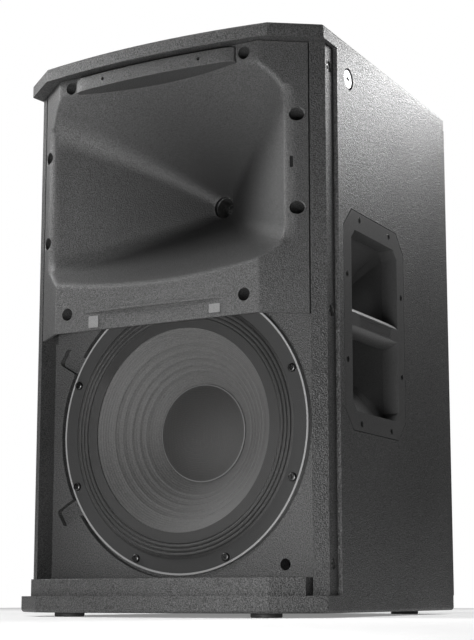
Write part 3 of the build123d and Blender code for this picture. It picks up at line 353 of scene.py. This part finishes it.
def grey(value, warm=0.0):
    return (value * (1 + warm), value, value * (1 - warm))


def axis_of(node):
    """The front-to-back axis through the middle of a round node, to a tenth of a millimetre."""
    low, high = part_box(node)
    return (0.0, 0.0, round((low.z + high.z) / 2, 4))


WOOFER_AXIS = axis_of("woofer_dust_cap")
HORN_AXIS = axis_of("hf_magnet")

# %% Wood, paint and mouldings
finishes = {
    "textured_paint": finish_of("textured_paint", grey(0.008), grey(0.070), scale=820, depth=0.0008,
                                rough=(0.62, 0.40)),
    "bare_plywood": finish_of("bare_plywood", (0.33, 0.21, 0.11), (0.55, 0.40, 0.24), scale=60,
                              depth=0.0002, stretch=(1, 1, 14), rough=(0.55, 0.7)),
    # Painted shade: the horn's colour darkens towards the throat, fully dark within 20 mm of its axis
    # and fading out by 130 mm.
    "horn_moulding": finish_of("horn_moulding", grey(0.014), grey(0.072), scale=1000, depth=0.0005,
                               centre=HORN_AXIS, edge=(0.13, 0.02, grey(0.012)),
                               rough=(0.60, 0.46)),
    "handle_moulding": finish_of("handle_moulding", grey(0.040), grey(0.070), scale=1500,
                                 depth=0.00012, rough=(0.48, 0.34)),
    "socket_plastic": finish_of("socket_plastic", grey(0.012), grey(0.022), scale=1500, depth=0.00006),
    "knob_plastic": finish_of("knob_plastic", grey(0.02), grey(0.035), scale=1500, depth=0.00006,
                              rough=(0.5, 0.7)),
    "rocker_plastic": finish_of("rocker_plastic", grey(0.01), grey(0.016), scale=800, depth=0.00002,
                                rough=(0.12, 0.22)),
    "pole_cup": finish_of("pole_cup", grey(0.014), grey(0.03), scale=1200, depth=0.0001),
    "phase_plug": finish_of("phase_plug", grey(0.012), grey(0.02), scale=900, depth=0.00003,
                            rough=(0.2, 0.35)),
    "badge": finish_of("badge", grey(0.11), grey(0.17), scale=1500, depth=0.00005),
}

# %% Metals
finishes.update({
    "black_screw": finish_of("black_screw", grey(0.05), grey(0.10), scale=1500, depth=0.00004,
                             rough=(0.26, 0.40), Metallic=1.0),
    # Painted highlight: the frame turns bright beyond 152.6 mm from the woofer's axis, a bright line on
    # its rim.
    "cast_frame": finish_of("cast_frame", grey(0.020), grey(0.045), scale=1300, depth=0.00012,
                            centre=WOOFER_AXIS, edge=(0.1526, 0.1529, grey(0.22)), rough=(0.34, 0.52)),
    "motor_steel": finish_of("motor_steel", grey(0.34), grey(0.5), scale=300, depth=0.00003,
                             pattern=ring_group, centre=WOOFER_AXIS, spacing=0.0008,
                             rough=(0.28, 0.42), Metallic=1.0),
    "ferrite": finish_of("ferrite", grey(0.03), grey(0.06), scale=700, depth=0.0001, rough=(0.6, 0.8)),
    "copper_coil": finish_of("copper_coil", (0.45, 0.17, 0.08), (0.72, 0.32, 0.16), scale=900,
                             stretch=(0.2, 6, 0.2), depth=0.00008, rough=(0.25, 0.4), Metallic=1.0),
    "diaphragm": finish_of("diaphragm", grey(0.5), grey(0.7), scale=600, depth=0.00002,
                           rough=(0.2, 0.3), Metallic=1.0),
    "nameplate": finish_of("nameplate", grey(0.15), grey(0.22), scale=1800, stretch=(1, 0.1, 1),
                           depth=0.00002, rough=(0.28, 0.4), Metallic=0.8),
    "plated_steel": finish_of("plated_steel", grey(0.38), grey(0.55), scale=900, depth=0.00003,
                              rough=(0.25, 0.4), Metallic=1.0),
    "amp_paint": finish_of("amp_paint", grey(0.012), grey(0.028), scale=1400, depth=0.0001,
                           rough=(0.42, 0.58)),
    "black_aluminium": finish_of("black_aluminium", grey(0.02), grey(0.04), scale=1200,
                                 stretch=(1, 1, 0.08), depth=0.00004, rough=(0.3, 0.45), Metallic=0.9),
    "cover_steel": finish_of("cover_steel", grey(0.42), grey(0.6), scale=40, depth=0.00002,
                             rough=(0.3, 0.5), Metallic=1.0),
    "latch_metal": finish_of("latch_metal", grey(0.45), grey(0.6), scale=1200, depth=0.00002,
                             rough=(0.22, 0.35), Metallic=1.0),
})

# %% Cloth, paper, rubber and glass
finishes.update({
    "cone_paper": finish_of("cone_paper", grey(0.034, 0.01), grey(0.072, 0.015), scale=800,
                            depth=0.00006, pattern=ring_group, centre=WOOFER_AXIS, spacing=0.0022,
                            rough=(0.62, 0.78), Sheen_Weight=0.15),
    # Painted highlight: the dust cap turns bright beyond 52.4 mm from the woofer's axis, a bright line
    # on its edge.
    "dust_cap_paper": finish_of("dust_cap_paper", grey(0.010, 0.02), grey(0.024, 0.03), scale=1000,
                                depth=0.00008, pattern=weave_group, spacing=0.0009,
                                centre=WOOFER_AXIS, edge=(0.0524, 0.0527, grey(0.10)),
                                rough=(0.55, 0.7), Sheen_Weight=0.1),
    "treated_cloth": finish_of("treated_cloth", grey(0.007, 0.02), grey(0.015, 0.02), scale=900,
                               depth=0.0001, pattern=weave_group, spacing=0.0010,
                               rough=(0.5, 0.68), Sheen_Weight=0.1),
    "wadding": finish_of("wadding", grey(0.5), grey(0.68), scale=160, depth=0.002,
                         rough=(0.85, 0.95), Sheen_Weight=0.5),
    "frame_gasket": finish_of("frame_gasket", grey(0.016), grey(0.03), scale=1400, depth=0.0002,
                              rough=(0.8, 0.9)),
    "lead_jacket": finish_of("lead_jacket", grey(0.012), grey(0.02), scale=700, depth=0.00004,
                             rough=(0.4, 0.5)),
    "foot_rubber": finish_of("foot_rubber", grey(0.012), grey(0.024), scale=1200, depth=0.0001,
                             rough=(0.6, 0.75)),
    "circuit_board": finish_of("circuit_board", (0.006, 0.05, 0.02), (0.02, 0.11, 0.05), scale=300,
                               depth=0.00006, rough=(0.3, 0.45)),
    "transformer": finish_of("transformer", (0.3, 0.2, 0.03), (0.5, 0.36, 0.08), scale=300,
                             stretch=(1, 4, 1), depth=0.0001, rough=(0.4, 0.55)),
    "indicator_lens": finish_of("indicator_lens", grey(0.01), grey(0.018), scale=300, depth=0.00001,
                                rough=(0.06, 0.12), Coat_Weight=0.6),
    "display_glass": finish_of("display_glass", (0.008, 0.012, 0.018), (0.014, 0.02, 0.03), scale=200,
                               depth=0.00001, rough=(0.04, 0.09), Coat_Weight=0.8),
})
print(len(finishes), "finishes")


# %% [markdown]
# ## Finishes on the CAD solids
# The record names the slot of every node, so one loop dresses them all.

# %% Dress the nodes
def dress(piece, slot_name):
    piece.data.materials.clear()
    piece.data.materials.append(finishes[slot_name])


slot_of = {part["node"]: part["material_slot"] for part in frame["record"]["subparts"]}
for name, slot_name in slot_of.items():
    dress(nodes[name], slot_name)
print(len(slot_of), "nodes dressed")

# %% [markdown]
# ## The horn
# The horn is one moulding: a folded front, a flare with four walls that meet in soft valleys, and
# a rounded lip. Its front hides nothing behind itself, so it can start as a flat grid whose every
# point is pushed back to its depth. The depth is the deeper of the folded front and the flare,
# blended where they meet. That blend is the lip's round, and the same blend between two walls is
# the valley. The wall gets its thickness afterwards, and the screw wells are cut with cylinders.
# Only the two sides and the top turn back to the baffle. The underside is open, so the cone has
# room for its stroke behind the lower lip.

# %% Horn sizes
low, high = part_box("horn")
HALF_WIDTH, HORN_LOW, HORN_HIGH = (round(v / MM, 1) for v in (high.x, low.z, high.z))
BACK_OF_BOW = -192.0
FOLD_X, FRONT_SETBACK, FOLD_SLOPE = 128.6, 5.7, 0.7727
THROAT_R, THROAT_SETBACK, AXIS_Z = 12.5, 150.0, HORN_AXIS[2] / MM
RIM_X, RIM_SETBACK, MOUTH_TOP, MOUTH_BOTTOM = 152.0, 23.6, 587.0, 350.0
TOP_ARC, BOTTOM_ARC = 424.0, 772.0
BAFFLE_Y, WELL_R = -129.6, 6.8
SKIN, TUBE_WALL = 3.2, 1.6
LIP_ROUND, EDGE_ROUND, FOLD_ROUND = 16.0, 6.0, 0.8
VALLEY_DEEP, VALLEY_GROWTH = 14.0, 16.0
WELLS = [(x, z) for x in (-112.0, 112.0) for z in (581.4, 324.4)] + \
    [(x, z) for x in (-160.2, 160.2) for z in (513.7, 414.2)]


# %% Horn depth
def blend_min(first, second, reach):
    overlap = max(reach - abs(first - second), 0.0) / reach
    return min(first, second) - overlap * overlap * reach / 4


def blend_max(first, second, reach):
    return -blend_min(-first, -second, reach)


def flare_depth(x, z):
    """Setback of the flare's wall straight behind a point of the front."""
    full = THROAT_SETBACK - FRONT_SETBACK
    side = THROAT_SETBACK - (abs(x) - THROAT_R) / (RIM_X - THROAT_R) * (THROAT_SETBACK - RIM_SETBACK)
    drop = TOP_ARC - math.sqrt(TOP_ARC ** 2 - x * x)
    rise = BOTTOM_ARC - math.sqrt(BOTTOM_ARC ** 2 - x * x)
    top = THROAT_SETBACK - (z + drop - AXIS_Z - THROAT_R) / (MOUTH_TOP - AXIS_Z - THROAT_R) * full
    low = AXIS_Z - THROAT_R
    bottom = THROAT_SETBACK - (low - z + rise) / (low - MOUTH_BOTTOM) * full
    height = blend_min(top, bottom, EDGE_ROUND)
    openness = min(max((THROAT_SETBACK - min(side, height)) / full, 0.0), 1.0)
    return blend_min(side, height, VALLEY_DEEP + VALLEY_GROWTH * openness), side < height


def horn_y(x, z):
    fold = blend_max(FRONT_SETBACK, FRONT_SETBACK + FOLD_SLOPE * (abs(x) - FOLD_X), FOLD_ROUND)
    depth, on_side = flare_depth(x, z)
    toward_rim = min(max((abs(x) - FOLD_X) / (RIM_X - FOLD_X), 0.0), 1.0)
    lip = LIP_ROUND * toward_rim if on_side else 0.0
    return BACK_OF_BOW + min(blend_max(fold, depth, max(lip, EDGE_ROUND)), THROAT_SETBACK)


# %% Horn skin
STEP = 2.0
across = round(2 * HALF_WIDTH / STEP)
upward = round((HORN_HIGH - HORN_LOW) / STEP)
select_none()
bpy.ops.mesh.primitive_grid_add(x_subdivisions=across, y_subdivisions=upward, size=1.0)
horn = bpy.context.object
middle_z = (HORN_HIGH + HORN_LOW) / 2
for vertex in horn.data.vertices:
    x = vertex.co.x * 2 * HALF_WIDTH
    z = middle_z + vertex.co.y * (HORN_HIGH - HORN_LOW)
    vertex.co = (x * MM, horn_y(x, z) * MM, z * MM)
edit_all(horn)
bpy.ops.mesh.normals_make_consistent(inside=False)
bpy.ops.mesh.select_mode(type="EDGE")
bpy.ops.mesh.select_all(action="DESELECT")
bpy.ops.mesh.select_non_manifold()
bpy.ops.object.mode_set(mode="OBJECT")
for edge in horn.data.edges:
    if all(horn.data.vertices[i].co.z < (HORN_LOW + 0.1) * MM for i in edge.vertices):
        edge.select = False
bpy.ops.object.mode_set(mode="EDIT")
bpy.ops.mesh.extrude_region_move(TRANSFORM_OT_translate={"value": (0, 0.02, 0)})
bpy.ops.mesh.select_mode(type="VERT")
bpy.ops.object.mode_set(mode="OBJECT")
for vertex in horn.data.vertices:
    if vertex.select:
        vertex.co.y = BAFFLE_Y * MM
front_normal = sum(p.normal.y * p.area for p in horn.data.polygons)
if front_normal > 0:
    edit_all(horn)
    bpy.ops.mesh.flip_normals()
    bpy.ops.object.mode_set(mode="OBJECT")
apply_modifier(horn, "SOLIDIFY", thickness=SKIN * MM, offset=-1.0)
print("horn skin", len(horn.data.polygons))


# %% Wells and throat
def cylinder_along_y(x, z, radius, front, back, sides=40):
    select_none()
    bpy.ops.mesh.primitive_cylinder_add(
        vertices=sides, radius=radius * MM, depth=(back - front) * MM,
        location=(x * MM, (front + back) / 2 * MM, z * MM), rotation=(math.radians(90), 0, 0))
    piece = bpy.context.object
    settle(piece)
    return piece


def join(pieces):
    select_none()
    for piece in pieces:
        piece.select_set(True)
    bpy.context.view_layer.objects.active = pieces[0]
    bpy.ops.object.join()
    return pieces[0]


drills = [cylinder_along_y(x, z, WELL_R, -215.0, -134.0) for x, z in WELLS]
drills.append(cylinder_along_y(0.0, AXIS_Z, THROAT_R, -60.0, -25.0, 64))
drill = join(drills)
apply_modifier(horn, "BOOLEAN", object=drill, operation="DIFFERENCE", solver="EXACT")
bpy.data.objects.remove(drill)

tubes = []
for x, z in WELLS:
    select_none()
    bpy.ops.mesh.primitive_circle_add(vertices=40, radius=WELL_R * MM, location=(0, 0, 0))
    tube = bpy.context.object
    for vertex in tube.data.vertices:
        rim_x, rim_z = x + vertex.co.x / MM, z + vertex.co.y / MM
        vertex.co = (rim_x * MM, (horn_y(rim_x, rim_z) + 0.3) * MM, rim_z * MM)
    edit_all(tube)
    bpy.ops.mesh.extrude_region_move(TRANSFORM_OT_translate={"value": (0, 0.02, 0)})
    bpy.ops.object.mode_set(mode="OBJECT")
    for vertex in tube.data.vertices:
        if vertex.select:
            vertex.co.y = (BAFFLE_Y - 4.0) * MM
    apply_modifier(tube, "SOLIDIFY", thickness=TUBE_WALL * MM, offset=1.0)
    edit_all(tube)
    bpy.ops.mesh.normals_make_consistent(inside=False)
    bpy.ops.object.mode_set(mode="OBJECT")
    tubes.append(tube)
print(len(tubes), "wells")

# %% [markdown]
# Two thin shelves lie across the front: a bowed ledge over the mouth, and a crescent rib under it.
# Each is a block whose front edge is pulled into the bow, with its edges bevelled.


# %% Ledge and rib
def bowed_shelf(front_half, back_half, low, high, ends, bow, back, back_bow):
    """A block along X, bulging forward by bow and back by back_bow in its middle."""
    select_none()
    bpy.ops.mesh.primitive_cube_add(size=1.0, location=(0, 0, 0))
    shelf = bpy.context.object
    edit_all(shelf)
    bpy.ops.mesh.subdivide(number_cuts=24)
    bpy.ops.object.mode_set(mode="OBJECT")
    for vertex in shelf.data.vertices:
        share, inward = vertex.co.x * 2, vertex.co.y + 0.5
        round_off = 1 - share * share
        front = ends - bow * round_off
        y = front + inward * (back + back_bow * round_off - front)
        half = front_half + min(inward * 4, 1.0) * (back_half - front_half)
        z = low + (vertex.co.z + 0.5) * (high - low)
        vertex.co = (share * half * MM, (BACK_OF_BOW + y) * MM, z * MM)
    apply_modifier(shelf, "BEVEL", width=0.5 * MM, segments=2, limit_method="ANGLE",
                   angle_limit=math.radians(60))
    return shelf


ledge = bowed_shelf(94.0, 102.3, 573.0, 588.5, -1.5, 5.5, 14.0, 18.0)
pins = join([cylinder_along_y(x, 581.2, 2.0, -215.0, -182.0, 24) for x in (-62.0, 62.0)])
apply_modifier(ledge, "BOOLEAN", object=pins, operation="DIFFERENCE", solver="EXACT")
bpy.data.objects.remove(pins)
rib = bowed_shelf(100.6, 100.6, 323.4, 326.0, 6.2, 3.2, 6.6, 0.0)
horn = join([horn] + tubes + [ledge, rib])
only(horn)
bpy.ops.object.shade_smooth_by_angle(angle=math.radians(38))
dress(horn, "horn_moulding")
finish_piece(horn, "horn_shell", "cabinet", "horn_moulding", "horn")

# %% [markdown]
# ## Smooth copies of the round parts
# A CAD solid arrives as loose triangles, so a cone would show its facets. A copy whose doubles
# are merged can be shaded smooth, and stays sharp where its faces meet at a wide angle.


# %% Smooth copies
def smooth_copy(node, body, angle):
    original = nodes[node]
    piece = bpy.data.objects.new(node + "_smooth", original.data.copy())
    scene.collection.objects.link(piece)
    only(piece)
    if piece.data.has_custom_normals:
        bpy.ops.mesh.customdata_custom_splitnormals_clear()
    edit_all(piece)
    bpy.ops.mesh.remove_doubles(threshold=0.00001)
    bpy.ops.object.mode_set(mode="OBJECT")
    only(piece)
    bpy.ops.object.shade_smooth_by_angle(angle=math.radians(angle))
    finish_piece(piece, node + "_smooth", body, slot_of[node], node)


SMOOTH_ANGLE = 28
for node, body in {"woofer_surround": None, "woofer_cone": "woofer_mover",
                   "woofer_dust_cap": "woofer_mover", "woofer_basket": "cabinet",
                   "woofer_gasket": "cabinet", "right_handle": "cabinet", "left_handle": "cabinet",
                   "pole_socket": "cabinet", "top_panel": "cabinet", "bottom_panel": "cabinet"}.items():
    smooth_copy(node, body, SMOOTH_ANGLE)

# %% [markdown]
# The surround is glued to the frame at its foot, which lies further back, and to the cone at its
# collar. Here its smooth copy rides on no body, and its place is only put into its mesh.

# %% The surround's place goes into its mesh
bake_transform(bpy.data.objects["woofer_surround_smooth"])

# %% [markdown]
# ## Damping wadding
# A polyester pad lies under the ceiling of the box. It is soft, so the plain solid is replaced by
# a crowned pad: a block whose middle keeps its height while its edges pull in, with shallow
# quilted channels across it.

# %% Wadding
low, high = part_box("damping_wadding")
select_none()
bpy.ops.mesh.primitive_cube_add(size=1.0, location=(0, 0, 0))
pad = bpy.context.object
edit_all(pad)
bpy.ops.mesh.subdivide(number_cuts=40)
bpy.ops.object.mode_set(mode="OBJECT")
centre, size = (low + high) / 2, (high - low)
QUILTS = 5
for vertex in pad.data.vertices:
    u, v, w = (2 * c for c in vertex.co)
    crown = ((1 - abs(u) ** 6) * (1 - abs(v) ** 6)) ** 0.5
    pull = 1 - 0.05 * w * w
    channel = 0.10 * math.exp(-((math.sin(math.pi * QUILTS * u / 2)) ** 2) / 0.02)
    thick = (0.35 + 0.60 * crown) * (1 - channel)
    vertex.co = (centre.x + u * pull * size.x * 0.485, centre.y + v * pull * size.y * 0.485,
                 centre.z + w * size.z * 0.49 * thick)
apply_modifier(pad, "SUBSURF", levels=1, render_levels=1)
only(pad)
bpy.ops.object.shade_smooth()
dress(pad, "wadding")
finish_piece(pad, "damping_pad", "cabinet", "wadding", "damping_wadding")

# %% [markdown]
# ## The floor
# A wide pale floor under the feet. It is staging and not part of the object.

# %% Floor
select_none()
bpy.ops.mesh.primitive_plane_add(size=1.9, location=(0, 0, 0))
floor = bpy.context.object
floor.name = "floor"
floor.data.materials.append(finish_of("pale_floor", grey(0.92), grey(0.95), scale=40, depth=0.00005,
                                      rough=(0.6, 0.7), Emission_Color=(1, 1, 1, 1),
                                      Emission_Strength=0.22))
